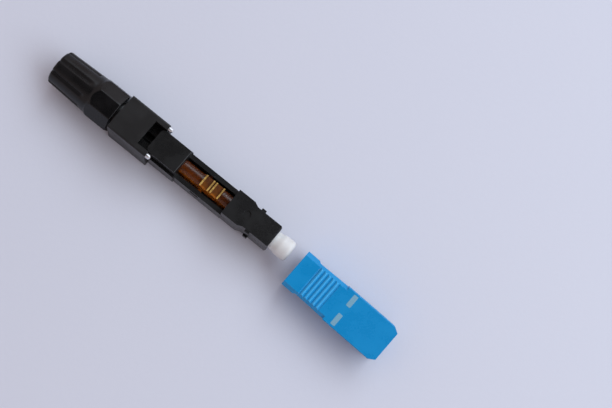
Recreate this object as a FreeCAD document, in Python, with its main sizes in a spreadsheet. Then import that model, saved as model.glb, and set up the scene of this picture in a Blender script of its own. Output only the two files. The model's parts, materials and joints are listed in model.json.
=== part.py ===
"""Field-assembly SC fibre connector, lying with its outer housing taken off.

Frame: millimetres, origin on the fibre axis at the cable mouth of the tail nut, +X along the
fibre axis from the cable end to the ferrule end, +Z up. Every size is a cell of the sheet
"Sizes"; every place is worked out from those cells by the named expressions in PLACES.
"""
import FreeCAD
import Part
import Sketcher
import os
import re

FLATS = 8
KEYWAYS = 4
JAW_TEETH = 3
WIRE_SIDES = 4

# ---------------------------------------------------------------- driving dimensions (mm, deg)
SIZES = {
    # tail nut: an octagonal head in front of a fluted cone, screwed on the threaded tail
    "nut_length": 16.4,
    "nut_head_length": 6.3,
    "nut_flats": 9.2,
    "nut_turn": 8.5,
    "nut_neck_radius": 4.5,
    "nut_tail_radius": 4.1,
    "nut_rim": 0.5,
    "head_edge": 0.2,
    "flute_radius": 0.42,
    "flute_depth": 0.3,
    "flute_length": 9.0,
    "mouth_radius": 2.0,
    "mouth_length": 2.0,
    # pressure ring and the two cable jaws inside the nut
    "ring_radius": 3.15,
    "ring_length": 2.5,
    "ring_cone_rear": 2.2,
    "ring_cone_front": 2.8,
    "ring_play": 0.05,
    "jaw_gap": 0.25,
    "jaw_nose_inset": 0.85,
    "jaw_length": 3.5,
    "jaw_bore_radius": 1.45,
    "jaw_slit": 0.5,
    "tooth_depth": 0.2,
    "tooth_pitch": 0.9,
    # main body: threaded tail, rear wall, channel, window rails and spigot
    "thread_radius": 3.4,
    "thread_play": 0.05,
    "thread_pitch": 1.0,
    "thread_depth": 0.35,
    "thread_length": 3.6,
    "cable_bore_radius": 1.75,
    "nut_gap": 0.6,
    "body_width": 7.1,
    "body_depth": 3.65,
    "rail_height": 0.85,
    "rear_wall_length": 2.2,
    "fibre_trough_radius": 1.0,
    "bore_taper": 1.4,
    "window_length": 12.9,
    "rail_width": 6.56,
    "rail_depth": 3.4,
    "trough_width": 4.4,
    "trough_depth": 2.0,
    "spigot_length": 1.5,
    "spigot_width": 5.2,
    "spigot_height": 5.5,
    "spigot_play": 0.05,
    # clamp block: the cover that holds the coated fibre down on the channel
    "block_length": 7.9,
    "block_width": 5.9,
    "block_height": 3.65,
    "block_corner": 1.0,
    "block_edge": 0.25,
    "peg_radius": 0.4,
    "peg_length": 0.8,
    "peg_spread": 4.9,
    "peg_play": 0.03,
    # sliding sleeve with its two press pins
    "sleeve_length": 10.2,
    "sleeve_side": 8.8,
    "sleeve_play": 0.1,
    "sleeve_step": 2.4,
    "sleeve_edge": 0.4,
    "plate_length": 7.2,
    "notch_width": 6.2,
    "lock_travel": 7.0,
    "pin_radius": 0.55,
    "pin_spread": 7.52,
    "pin_height": 3.35,
    "pin_seat": 5.0,
    "pin_reach": 1.0,
    "pin_edge": 0.25,
    # floating unit: V-groove base and lid, ferrule holder, ferrule, fibre stub, spring
    "float_travel": 1.0,
    "float_play": 0.08,
    "base_radius": 1.65,
    "base_rear_reach": 0.3,
    "base_front_gap": 0.5,
    "guide_radius": 0.9,
    "guide_length": 5.6,
    "funnel_radius": 0.45,
    "funnel_length": 2.0,
    "fibre_radius": 0.0625,
    "fibre_play": 0.0175,
    "fibre_grip_length": 3.2,
    "lug_length": 0.8,
    "lug_height": 0.6,
    "lug_place": 0.3,
    "lug_reach": 3.0,
    "lug_room": 0.2,
    "lid_setback": 2.5,
    "lid_length": 5.0,
    "lid_width": 2.8,
    "lid_height": 2.6,
    "fin_thickness": 0.35,
    "fin_gap": 0.35,
    "fin_depth": 0.55,
    "holder_shank_radius": 0.9,
    "holder_shank_seat": 2.2,
    "flange_radius": 2.3,
    "flange_thickness": 1.25,
    "key_width": 0.7,
    "key_depth": 0.35,
    "cup_radius": 1.85,
    "cup_length": 2.15,
    "ferrule_radius": 1.25,
    "ferrule_length": 10.5,
    "ferrule_seat": 2.8,
    "ferrule_edge": 0.25,
    "spring_radius": 1.28,
    "spring_wire": 0.3,
    "spring_pitch": 1.25,
    "seat_depth": 7.1,
    # plug frame: the SC plug body, lying on its side
    "shoulder_length": 4.2,
    "shoulder_width": 6.4,
    "shoulder_slope": 1.1,
    "plug_length": 6.8,
    "plug_width": 5.36,
    "plug_height": 6.7,
    "plug_edge": 0.3,
    "chamber_radius": 2.45,
    "neck_bore_radius": 1.93,
    "neck_bore_length": 2.7,
    "recess_radius": 2.3,
    "nub_place": 0.9,
    "nub_length": 1.1,
    "nub_reach": 0.55,
    "nub_height": 1.2,
    "dimple_radius": 0.85,
    "dimple_depth": 0.3,
    "dimple_place": 0.3,
    # dust cap on the ferrule
    "cap_neck_radius": 2.1,
    "cap_neck_out": 2.2,
    "cap_neck_in": 2.3,
    "cap_head_radius": 2.45,
    "cap_head_length": 2.5,
    "cap_flare": 1.2,
    "cap_nose": 0.9,
    "cap_play": 0.03,
    "cap_room": 0.5,
    # outer housing, taken off and lying ahead of the plug
    "housing_gap": 2.7,
    "housing_offset": 1.67,
    "housing_yaw": 2.07,
    "housing_length": 25.4,
    "housing_width": 9.0,
    "housing_height": 7.4,
    "housing_edge": 0.25,
    "nose_run": 1.5,
    "nose_cut": 0.9,
    "grip_length": 11.4,
    "collar_length": 3.6,
    "collar_slope": 0.5,
    "waist_width": 8.3,
    "grip_width": 8.7,
    "bevel_width": 0.95,
    "bevel_drop": 0.95,
    "rib_count": 5,
    "rib_place": 4.69,
    "rib_pitch": 1.05,
    "rib_crest": 0.12,
    "rib_rise": 0.2,
    "rib_sink": 0.14,
    "bay_play": 0.05,
    "throat_play": 0.07,
    "throat_length": 7.9,
    "latch_place": 15.2,
    "latch_length": 7.0,
    "latch_height": 2.8,
    "key_rib_width": 1.7,
    "key_rib_height": 0.77,
    "key_rib_length": 11.4,
    "key_rib_setback": 0.4,
}

# ---------------------------------------------------------------- named places and derived sizes
PLACES = {
    "nut_head_rear": "nut_length - nut_head_length",
    "nut_bore_radius": "thread_radius + thread_play",
    "ring_rear": "mouth_length + ring_play",
    "ring_front": "ring_rear + ring_length",
    "ring_room_radius": "ring_radius + ring_play",
    "ring_slope": "(ring_cone_front - ring_cone_rear) / ring_length",
    "jaw_rear": "ring_rear + jaw_nose_inset",
    "jaw_front": "jaw_rear + jaw_length",
    "jaw_nose_radius": "ring_cone_rear + ring_slope * jaw_nose_inset - jaw_gap",
    "jaw_cone_front": "ring_front + jaw_gap",
    "jaw_heel_radius": "jaw_nose_radius + ring_slope * (jaw_cone_front - jaw_rear)",
    "tail_rear": "jaw_front",
    "thread_bore_rear": "tail_rear - nut_gap / 2",
    "sleeve_rear": "nut_length + nut_gap",
    "channel_rear": "sleeve_rear - nut_gap / 3",
    "thread_front": "channel_rear - thread_depth - thread_play",
    "trough_rear": "channel_rear + rear_wall_length",
    "plate_front": "sleeve_rear + plate_length",
    "cheek_front": "sleeve_rear + sleeve_length",
    "block_front": "cheek_front + lock_travel",
    "block_rear": "block_front - block_length",
    "block_middle": "block_front - block_length / 2",
    "spring_seat": "block_front - seat_depth",
    "window_rear": "block_front",
    "window_front": "window_rear + window_length",
    "spigot_front": "window_front + spigot_length",
    "frame_shoulder": "window_front + shoulder_length",
    "frame_neck": "frame_shoulder + shoulder_slope",
    "frame_front": "frame_neck + plug_length",
    "spring_bore_radius": "base_radius + float_play",
    "base_rear": "window_rear - base_rear_reach",
    "base_front": "window_front + base_front_gap",
    "guide_rear": "base_rear - guide_length",
    "lid_front": "window_front - lid_setback",
    "lid_rear": "lid_front - lid_length",
    "lug_rear": "lid_rear + lug_place",
    "fibre_bore_radius": "fibre_radius + fibre_play",
    "flange_front": "frame_shoulder - spigot_play",
    "flange_rear": "flange_front - flange_thickness",
    "chamber_rear": "spigot_front",
    "recess_rear": "frame_shoulder + neck_bore_length",
    "shank_rear": "base_front - holder_shank_seat",
    "cup_front": "flange_front + cup_length",
    "ferrule_rear": "cup_front - ferrule_seat",
    "ferrule_front": "ferrule_rear + ferrule_length",
    "fibre_rear": "lid_rear + fibre_grip_length",
    "spring_rear": "spring_seat + spring_wire / 2",
    "spring_length": "base_rear - spring_seat - spring_wire - float_play / 2",
    "cap_rear": "frame_front - cap_neck_in",
    "cap_head_rear": "frame_front + cap_neck_out",
    "cap_front": "cap_head_rear + cap_head_length",
    "cap_bore_radius": "ferrule_radius + cap_play",
    "cap_bore_front": "ferrule_front + cap_room",
    "cavity_half": "body_width / 2 + sleeve_play",
    "cavity_top_half": "block_width / 2 + sleeve_play",
    "half_turn": "22.5 deg",
    "nut_taper": "atan((nut_neck_radius - nut_tail_radius) / nut_head_rear)",
    "floor_drop": "nut_corner * cos(nut_turn * 1 deg)",
    "housing_rear": "cap_front + housing_gap",
    "half_width": "housing_width / 2",
    "half_height": "housing_height / 2",
    "rest_roll": "atan(key_rib_height / (half_width - key_rib_width / 2))",
    "housing_rise": "half_width * sin(rest_roll) + half_height * cos(rest_roll) - floor_drop",
    "rib_last": "rib_place + rib_pitch * (rib_count - 1)",
    "rib_half": "rib_pitch / 2",
    "rib_run": "rib_half * rib_sink / (rib_rise + rib_sink)",
    "bay_half_width": "plug_height / 2 + throat_play",
    "bay_half_height": "rail_width / 2 + bay_play",
    "throat_half_height": "plug_width / 2 + throat_play",
    "housing_roof": "half_height + 2 * rib_rise",
    "fin_pair": "2 * fin_thickness + fin_gap",
    "fin_bay": "(lid_length - 2 * fin_thickness - fin_pair) / 2",
    "nut_corner": "nut_flats / 2 / cos(half_turn)",
    "lug_slot_rear": "lug_rear - float_travel - lug_room",
    "lug_slot_length": "lug_length + float_travel + 2 * lug_room",
}

doc = FreeCAD.newDocument("sc_fibre_connector")
sheet = doc.addObject("Spreadsheet::Sheet", "Sizes")
for row, (alias, value) in enumerate(SIZES.items(), 1):
    sheet.set(f"A{row}", alias)
    sheet.set(f"B{row}", str(value))
    sheet.setAlias(f"B{row}", alias)
doc.recompute()

WORD = re.compile(r"[a-z][a-z_]*")


def bound(text):
    """Expression text in which each place is spelled out and each size reads its sheet cell."""

    def spell(match):
        word = match.group(0)
        if word in PLACES:
            return "(" + bound(PLACES[word]) + ")"
        return "Sizes." + word if word in SIZES else word

    return WORD.sub(spell, str(text))


def new_body(name):
    """A PartDesign body whose label is the node's name."""
    body = doc.addObject("PartDesign::Body", name)
    body.Label = name
    return body


def plane(body, role):
    """One of the body's own origin planes."""
    return next(item for item in body.Origin.OriginFeatures if item.Role == role)


def new_sketch(body, role, offset="0", tilt="0"):
    """An empty sketch on one of the body's planes, tilted and moved along the plane's normal."""
    sketch = body.newObject("Sketcher::SketchObject", f"{body.Name}_sketch")
    sketch.AttachmentSupport = [(plane(body, role), "")]
    sketch.MapMode = "FlatFace"
    sketch.setExpression("AttachmentOffset", bound(
        f"placement(vector(0; 0; {offset}); rotationx({tilt}))"))
    return sketch


def pin_point(sketch, geometry, point, across, up):
    """Hold one point of a sketch at two bound distances from the sketch's origin."""
    for kind, text in (("DistanceX", across), ("DistanceY", up)):
        index = sketch.addConstraint(Sketcher.Constraint(kind, -1, 1, geometry, point, 1.0))
        sketch.setExpression(f"Constraints[{index}]", bound(text))


def outline(body, role, corners, offset="0"):
    """A closed polygon sketch with each corner bound to a pair of expressions."""
    sketch = new_sketch(body, role, offset)
    count = len(corners)
    turn = 360.0 / count
    starts = [FreeCAD.Rotation(FreeCAD.Vector(0, 0, 1), turn * k).multVec(FreeCAD.Vector(9, 0, 0))
              for k in range(count)]
    for k in range(count):
        sketch.addGeometry(Part.LineSegment(starts[k], starts[(k + 1) % count]), False)
    for k in range(count):
        sketch.addConstraint(Sketcher.Constraint("Coincident", k, 2, (k + 1) % count, 1))
    for k, (across, up) in enumerate(corners):
        pin_point(sketch, k, 1, across, up)
    return sketch


def rectangle(body, role, low, high, offset="0"):
    """A rectangle sketch from its low corner to its high corner."""
    corners = [(low[0], low[1]), (high[0], low[1]), (high[0], high[1]), (low[0], high[1])]
    return outline(body, role, corners, offset)


def ring(body, role, centre, radius, offset="0", tilt="0"):
    """A circle sketch."""
    sketch = new_sketch(body, role, offset, tilt)
    sketch.addGeometry(Part.Circle(FreeCAD.Vector(1, 1, 0), FreeCAD.Vector(0, 0, 1), 1), False)
    pin_point(sketch, 0, 3, *centre)
    index = sketch.addConstraint(Sketcher.Constraint("Radius", 0, 1.0))
    sketch.setExpression(f"Constraints[{index}]", bound(radius))
    return sketch


def grow(body, sketch, length, middle=False):
    """Pad a sketch towards its plane's normal, or to both sides of the plane."""
    feature = body.newObject("PartDesign::Pad", f"{body.Name}_pad")
    feature.Profile = sketch
    feature.setExpression("Length", bound(length))
    feature.Midplane = middle
    return finish_feature(body, feature)


def cut(body, sketch, length, forward=True, middle=False):
    """Pocket a sketch towards its plane's normal, against it, or to both sides."""
    feature = body.newObject("PartDesign::Pocket", f"{body.Name}_pocket")
    feature.Profile = sketch
    feature.setExpression("Length", bound(length))
    feature.Reversed = forward and not middle
    feature.Midplane = middle
    return finish_feature(body, feature)


def turned(body, corners, kind="PartDesign::Revolution"):
    """Turn a profile of (place along X, radius) corners about the X axis."""
    sketch = outline(body, "XZ_Plane", corners)
    feature = body.newObject(kind, f"{body.Name}_turned")
    feature.Profile = sketch
    feature.ReferenceAxis = (sketch, ["H_Axis"])
    feature.Angle = 360
    return finish_feature(body, feature)


def bored(body, corners):
    """Cut a turned hollow with a profile of (place along X, radius) corners."""
    return turned(body, corners, "PartDesign::Groove")


def finish_feature(body, feature):
    """Make the feature the body's tip once it has given a valid solid."""
    doc.recompute()
    if "Invalid" in feature.State or feature.Shape.isNull() or not feature.Shape.isValid():
        raise RuntimeError(f"{feature.Name} of {body.Label} failed")
    body.Tip = feature
    return feature


def dressed(body, kind, size, wanted):
    """Fillet or chamfer the edges of the body's tip that wanted(edge, box) accepts."""
    raw = body.Tip
    names = [f"Edge{k}" for k, edge in enumerate(raw.Shape.Edges, 1)
             if wanted(edge, raw.Shape.BoundBox)]
    feature = body.newObject(f"PartDesign::{kind}", f"{body.Name}_{kind.lower()}")
    feature.Base = (raw, names)
    feature.setExpression("Radius" if kind == "Fillet" else "Size", bound(size))
    return finish_feature(body, feature)


def repeated(body, original, direction, step, count):
    """Repeat a feature in a row along one of the body's axes."""
    feature = body.newObject("PartDesign::LinearPattern", f"{body.Name}_row")
    feature.Originals = [original]
    feature.Direction = (plane(body, direction), [""])
    feature.setExpression("Length", f"{bound(step)} * ({bound(count)} - 1)")
    feature.setExpression("Occurrences", bound(count))
    return finish_feature(body, feature)


def around(body, original, count):
    """Repeat a feature evenly about the X axis."""
    feature = body.newObject("PartDesign::PolarPattern", f"{body.Name}_round")
    feature.Originals = [original]
    feature.Axis = (plane(body, "X_Axis"), [""])
    feature.Angle = 360
    feature.Occurrences = count
    return finish_feature(body, feature)


def near(first, second):
    """Whether two lengths agree within a hundredth of a millimetre."""
    return abs(first - second) < 0.01


def runs_along(edge, axis):
    """Whether a straight edge runs along the axis numbered 0, 1 or 2."""
    span = edge.Vertexes[-1].Point - edge.Vertexes[0].Point
    return edge.Curve.TypeId == "Part::GeomLine" and near(abs(span[axis]), span.Length)


def at_end(edge, end):
    """Whether the whole edge lies in the plane X = end."""
    return near(edge.BoundBox.XMin, end) and near(edge.BoundBox.XMax, end)


def outermost(edge, box, axis, low=True, high=True):
    """Whether the edge's middle lies on the low or high side of the box along an axis."""
    place = edge.CenterOfMass[axis]
    lows = (box.XMin, box.YMin, box.ZMin)
    highs = (box.XMax, box.YMax, box.ZMax)
    return (low and near(place, lows[axis])) or (high and near(place, highs[axis]))


# ---------------------------------------------------------------- tail nut, ring and jaws
def build_tail_nut():
    """Octagonal head, fluted cone behind it and a stepped bore right through."""
    body = new_body("tail_nut")
    turned(body, [("0", "0"), ("0", "nut_tail_radius - nut_rim"),
                  ("nut_rim / 4", "nut_tail_radius - nut_rim / 4"), ("nut_rim", "nut_tail_radius"),
                  ("nut_head_rear", "nut_neck_radius"), ("nut_head_rear", "0")])
    angles = [k * 360 / FLATS for k in range(FLATS)]
    corners = [(f"nut_corner * cos({a} deg)", f"nut_corner * sin({a} deg)") for a in angles]
    grow(body, outline(body, "YZ_Plane", corners, "nut_head_rear"), "nut_head_length")
    dressed(body, "Chamfer", "head_edge", lambda edge, box: at_end(edge, box.XMax))
    height = "nut_tail_radius + flute_radius - flute_depth"
    flute = cut(body, ring(body, "YZ_Plane", ("0", height), "flute_radius", tilt="-nut_taper"),
                "flute_length")
    around(body, flute, FLATS)
    bored(body, [("0", "0"), ("0", "mouth_radius"), ("mouth_length", "mouth_radius"),
                 ("mouth_length", "ring_room_radius"), ("thread_bore_rear", "ring_room_radius"),
                 ("thread_bore_rear", "nut_bore_radius"), ("nut_length", "nut_bore_radius"),
                 ("nut_length", "0")])
    body.setExpression("Placement", bound("placement(vector(0; 0; 0); rotationx(-nut_turn))"))
    return body


def build_pressure_ring():
    """The ring that the nut pushes over the jaws; its bore is a cone."""
    body = new_body("pressure_ring")
    turned(body, [("ring_rear", "ring_cone_rear"), ("ring_rear", "ring_radius"),
                  ("ring_front", "ring_radius"), ("ring_front", "ring_cone_front")])
    return body


def build_jaw(name, up):
    """One half of the toothed jaws that close on the cable's jacket."""
    body = new_body(name)
    teeth = [("jaw_rear", "jaw_bore_radius")]
    for k in range(JAW_TEETH):
        teeth.append((f"jaw_rear + tooth_pitch * ({k} + 1 / 2)", "jaw_bore_radius + tooth_depth"))
        teeth.append((f"jaw_rear + tooth_pitch * ({k} + 1)", "jaw_bore_radius"))
    outside = [("jaw_front", "jaw_bore_radius"), ("jaw_front", "jaw_heel_radius"),
               ("jaw_cone_front", "jaw_heel_radius"), ("jaw_rear", "jaw_nose_radius")]
    turned(body, teeth + outside)
    far = "(jaw_heel_radius + jaw_slit)"
    low, high = (f"-{far}", "jaw_slit / 2") if up else ("-jaw_slit / 2", far)
    away = rectangle(body, "YZ_Plane", (f"-{far}", low), (far, high), "jaw_rear")
    cut(body, away, "jaw_length")
    return body


# ---------------------------------------------------------------- main body and clamp block
def build_main_body():
    """Threaded tail, wall, channel, window rails and the spigot that holds the plug frame."""
    body = new_body("main_body")
    turned(body, [("tail_rear", "0"), ("tail_rear", "thread_radius"),
                  ("channel_rear + nut_gap", "thread_radius"), ("channel_rear + nut_gap", "0")])
    channel = rectangle(body, "YZ_Plane", ("-body_width / 2", "-body_depth"),
                        ("body_width / 2", "rail_height"), "channel_rear")
    grow(body, channel, "window_rear - channel_rear")
    wall = rectangle(body, "YZ_Plane", ("-block_width / 2", "0"),
                     ("block_width / 2", "thread_radius"), "channel_rear")
    grow(body, wall, "rear_wall_length")
    rails = rectangle(body, "YZ_Plane", ("-rail_width / 2", "-rail_depth"),
                      ("rail_width / 2", "rail_height"), "window_rear")
    grow(body, rails, "window_length")
    spigot = rectangle(body, "YZ_Plane", ("-spigot_width / 2", "-spigot_height / 2"),
                       ("spigot_width / 2", "spigot_height / 2"), "window_front")
    grow(body, spigot, "spigot_length")
    trough = rectangle(body, "YZ_Plane", ("-trough_width / 2", "-trough_depth"),
                       ("trough_width / 2", "rail_height"), "window_rear")
    cut(body, trough, "window_length")
    slots = rectangle(body, "YZ_Plane", ("-body_width / 2", "-lug_height - lug_room"),
                      ("body_width / 2", "lug_room"), "lug_slot_rear")
    cut(body, slots, "lug_slot_length")
    open_top = rectangle(body, "YZ_Plane", ("-fibre_trough_radius", "0"),
                         ("fibre_trough_radius", "rail_height"), "trough_rear")
    cut(body, open_top, "spring_seat - trough_rear")
    bored(body, [("tail_rear", "0"), ("tail_rear", "cable_bore_radius"),
                 ("trough_rear - bore_taper", "cable_bore_radius"),
                 ("trough_rear", "fibre_trough_radius"), ("spring_seat", "fibre_trough_radius"),
                 ("spring_seat", "spring_bore_radius"), ("window_rear", "spring_bore_radius"),
                 ("window_rear", "0")])
    bored(body, [("window_front", "0"), ("window_front", "trough_depth"),
                 ("spigot_front", "trough_depth"), ("spigot_front", "0")])
    for side in ("-", ""):
        hole = ring(body, "XY_Plane", ("block_middle", f"{side}peg_spread / 2"),
                    "peg_radius + peg_play", "rail_height")
        cut(body, hole, "peg_length + peg_play", forward=False)
    cut_thread(body)
    return body


def cut_thread(body):
    """Run a V-shaped screw thread along the front of the body's tail, up to the wall."""
    root = "thread_radius - thread_depth"
    crest = "thread_radius + thread_play"
    middle = "thread_front - thread_length"
    groove = outline(body, "XZ_Plane", [(middle, root), (f"{middle} + thread_depth", crest),
                                        (f"{middle} - thread_depth", crest)])
    thread = body.newObject("PartDesign::SubtractiveHelix", "main_body_thread")
    thread.Profile = groove
    thread.ReferenceAxis = (groove, ["H_Axis"])
    thread.Mode = 0
    thread.setExpression("Pitch", bound("thread_pitch"))
    thread.setExpression("Height", bound("thread_length"))
    finish_feature(body, thread)


def build_clamp_block():
    """The cover that is pressed on the channel; two pegs place it."""
    body = new_body("clamp_block")
    plan = rectangle(body, "XY_Plane", ("block_rear", "-block_width / 2"),
                     ("block_front", "block_width / 2"), "rail_height")
    grow(body, plan, "block_height - rail_height")
    dressed(body, "Fillet", "block_corner",
            lambda edge, box: runs_along(edge, 2) and outermost(edge, box, 0, high=False))
    dressed(body, "Chamfer", "block_edge",
            lambda edge, box: at_end(edge, box.XMax) and outermost(edge, box, 2, low=False))
    bored(body, [("block_rear", "0"), ("block_rear", "fibre_trough_radius"),
                 ("spring_seat", "fibre_trough_radius"), ("spring_seat", "spring_bore_radius"),
                 ("block_front", "spring_bore_radius"), ("block_front", "0")])
    for side in ("-", ""):
        peg = ring(body, "XY_Plane", ("block_middle", f"{side}peg_spread / 2"), "peg_radius",
                   "rail_height - peg_length")
        grow(body, peg, "2 * peg_length")
    return body


# ---------------------------------------------------------------- sliding sleeve and its pins
def build_sliding_sleeve():
    """A square tube with a plate on top, cut back between two cheeks."""
    body = new_body("sliding_sleeve")
    half = "sleeve_side / 2"
    block = rectangle(body, "YZ_Plane", (f"-{half}", f"-{half}"), (half, half), "sleeve_rear")
    grow(body, block, "sleeve_length")
    dressed(body, "Fillet", "sleeve_edge", lambda edge, box: runs_along(edge, 0))
    notch = rectangle(body, "YZ_Plane", ("-notch_width / 2", "0"), ("notch_width / 2", half),
                      "plate_front")
    cut(body, notch, "sleeve_length - plate_length")
    lower = rectangle(body, "YZ_Plane", ("-cavity_half", "-body_depth - sleeve_play"),
                      ("cavity_half", "sleeve_step"), "sleeve_rear")
    cut(body, lower, "sleeve_length")
    upper = rectangle(body, "YZ_Plane", ("-cavity_top_half", "0"),
                      ("cavity_top_half", "block_height + sleeve_play"), "sleeve_rear")
    cut(body, upper, "sleeve_length")
    for side in ("-", ""):
        hole = ring(body, "YZ_Plane", (f"{side}pin_spread / 2", "pin_height"), "pin_radius",
                    "cheek_front - pin_seat")
        cut(body, hole, "pin_seat")
    return body


def build_press_pin(name, side):
    """One steel pin pressed in a cheek of the sleeve."""
    body = new_body(name)
    disc = ring(body, "YZ_Plane", (f"{side}pin_spread / 2", "pin_height"), "pin_radius",
                "cheek_front - pin_seat")
    grow(body, disc, "pin_seat + pin_reach")
    dressed(body, "Chamfer", "pin_edge", lambda edge, box: at_end(edge, box.XMax))
    return body


# ---------------------------------------------------------------- floating fibre unit
def build_v_groove_base():
    """Round splice base with a flat for the lid, two side lugs and a rear guide tube."""
    body = new_body("v_groove_base")
    turned(body, [("guide_rear", "0"), ("guide_rear", "guide_radius"),
                  ("base_rear", "guide_radius"), ("base_rear", "base_radius"),
                  ("base_front", "base_radius"), ("base_front", "0")])
    flat = rectangle(body, "YZ_Plane", ("-2 * base_radius", "0"),
                     ("2 * base_radius", "2 * base_radius"), "lid_rear")
    cut(body, flat, "lid_length")
    lugs = rectangle(body, "YZ_Plane", ("-lug_reach", "-lug_height"), ("lug_reach", "0"),
                     "lug_rear")
    grow(body, lugs, "lug_length")
    bored(body, [("guide_rear", "0"), ("guide_rear", "funnel_radius"),
                 ("guide_rear + funnel_length", "fibre_bore_radius"),
                 ("shank_rear", "fibre_bore_radius"), ("shank_rear", "holder_shank_radius"),
                 ("base_front", "holder_shank_radius"), ("base_front", "0")])
    return body


def build_v_groove_lid():
    """Lid whose top carries a transverse fin at each end and a pair of them midway."""
    body = new_body("v_groove_lid")
    block = rectangle(body, "YZ_Plane", ("-lid_width / 2", "0"), ("lid_width / 2", "lid_height"),
                      "lid_rear")
    grow(body, block, "lid_length")
    low, high = ("-lid_width", "lid_height - fin_depth"), ("lid_width", "2 * lid_height")
    bay = rectangle(body, "YZ_Plane", low, high, "lid_rear + fin_thickness")
    repeated(body, cut(body, bay, "fin_bay"), "X_Axis", "fin_bay + fin_pair", "2")
    gap = rectangle(body, "YZ_Plane", low, high, "lid_rear + fin_thickness + fin_bay + fin_thickness")
    cut(body, gap, "fin_gap")
    bored(body, [("lid_rear", "0"), ("lid_rear", "fibre_bore_radius"),
                 ("lid_front", "fibre_bore_radius"), ("lid_front", "0")])
    return body


def build_ferrule_holder():
    """Shank, keyed flange and cup that carries the ferrule."""
    body = new_body("ferrule_holder")
    turned(body, [("shank_rear", "0"), ("shank_rear", "holder_shank_radius"),
                  ("flange_rear", "holder_shank_radius"), ("flange_rear", "flange_radius"),
                  ("flange_front", "flange_radius"), ("flange_front", "cup_radius"),
                  ("cup_front", "cup_radius"), ("cup_front", "0")])
    keyway = rectangle(body, "YZ_Plane", ("-key_width / 2", "flange_radius - key_depth"),
                       ("key_width / 2", "2 * flange_radius"), "flange_rear")
    around(body, cut(body, keyway, "flange_thickness"), KEYWAYS)
    bored(body, [("shank_rear", "0"), ("shank_rear", "fibre_bore_radius"),
                 ("ferrule_rear", "fibre_bore_radius"), ("ferrule_rear", "ferrule_radius"),
                 ("cup_front", "ferrule_radius"), ("cup_front", "0")])
    return body


def build_ferrule():
    """Ceramic ferrule with a chamfered tip."""
    body = new_body("ferrule")
    turned(body, [("ferrule_rear", "fibre_bore_radius"), ("ferrule_rear", "ferrule_radius"),
                  ("ferrule_front - ferrule_edge", "ferrule_radius"),
                  ("ferrule_front", "ferrule_radius - ferrule_edge"),
                  ("ferrule_front", "fibre_bore_radius")])
    return body


def build_fibre_stub():
    """The factory fibre from the V groove to the polished end of the ferrule."""
    body = new_body("fibre_stub")
    disc = ring(body, "YZ_Plane", ("0", "0"), "fibre_radius", "fibre_rear")
    grow(body, disc, "ferrule_front - fibre_rear")
    return body


def build_ferrule_spring():
    """Helical spring between the seat in the body and the shoulder of the splice base."""
    body = new_body("ferrule_spring")
    angles = [k * 360 / WIRE_SIDES for k in range(WIRE_SIDES)]
    section = [(f"spring_rear + spring_wire / 2 * cos({a} deg)",
                f"spring_radius + spring_wire / 2 * sin({a} deg)") for a in angles]
    wire = outline(body, "XZ_Plane", section)
    coil = body.newObject("PartDesign::AdditiveHelix", "ferrule_spring_coil")
    coil.Profile = wire
    coil.ReferenceAxis = (wire, ["H_Axis"])
    coil.Mode = 0
    coil.setExpression("Pitch", bound("spring_pitch"))
    coil.setExpression("Height", bound("spring_length"))
    finish_feature(body, coil)
    return body


# ---------------------------------------------------------------- plug frame and dust cap
def build_plug_frame():
    """SC plug frame: square shoulder, slope, frame with four nubs and a stepped bore."""
    body = new_body("plug_frame")
    wide, slim = "shoulder_width / 2", "plug_width / 2"
    side = [("window_front", wide), ("frame_shoulder", wide), ("frame_neck", slim),
            ("frame_front", slim)]
    plan = [(x, f"-{y}") for x, y in side] + list(reversed(side))
    grow(body, outline(body, "XY_Plane", plan), "plug_height", middle=True)
    dressed(body, "Chamfer", "plug_edge", lambda edge, box: at_end(edge, box.XMax))
    reach = "plug_width / 2 + nub_reach"
    top = "plug_height / 2 - nub_reach / 2"
    for low, high in ((f"{top} - nub_height", top), (f"-({top})", f"nub_height - ({top})")):
        nubs = rectangle(body, "YZ_Plane", (f"-({reach})", low), (reach, high),
                         "frame_neck + nub_place")
        grow(body, nubs, "nub_length")
    pocket_half = ("spigot_width / 2 + spigot_play", "spigot_height / 2 + spigot_play")
    pocket = rectangle(body, "YZ_Plane", [f"-({size})" for size in pocket_half], pocket_half,
                       "window_front")
    cut(body, pocket, "spigot_length")
    bored(body, [("chamber_rear", "0"), ("chamber_rear", "chamber_radius"),
                 ("frame_shoulder", "chamber_radius"), ("frame_shoulder", "neck_bore_radius"),
                 ("recess_rear", "neck_bore_radius"), ("recess_rear", "recess_radius"),
                 ("frame_front", "recess_radius"), ("frame_front", "0")])
    for sign, up in (("", True), ("-", False)):
        dimple = ring(body, "XY_Plane", ("frame_shoulder + dimple_place", "0"), "dimple_radius",
                      f"{sign}(plug_height / 2 - dimple_depth)")
        cut(body, dimple, "2 * dimple_depth", forward=up)
    return body


def build_dust_cap():
    """Soft cap pushed on the ferrule: a neck that flares to a head with a rounded nose."""
    body = new_body("dust_cap")
    turned(body, [("cap_rear", "0"), ("cap_rear", "cap_neck_radius"),
                  ("cap_head_rear - cap_flare", "cap_neck_radius"),
                  ("cap_head_rear", "cap_head_radius"),
                  *[(f"cap_front - cap_nose * (1 - sin({a} deg))",
                     f"cap_head_radius - cap_nose * (1 - cos({a} deg))") for a in (0, 30, 60, 90)],
                  ("cap_front", "0")])
    bored(body, [("cap_rear", "0"), ("cap_rear", "cap_bore_radius"),
                 ("cap_bore_front", "cap_bore_radius"), ("cap_bore_front", "0")])
    return body


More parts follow.
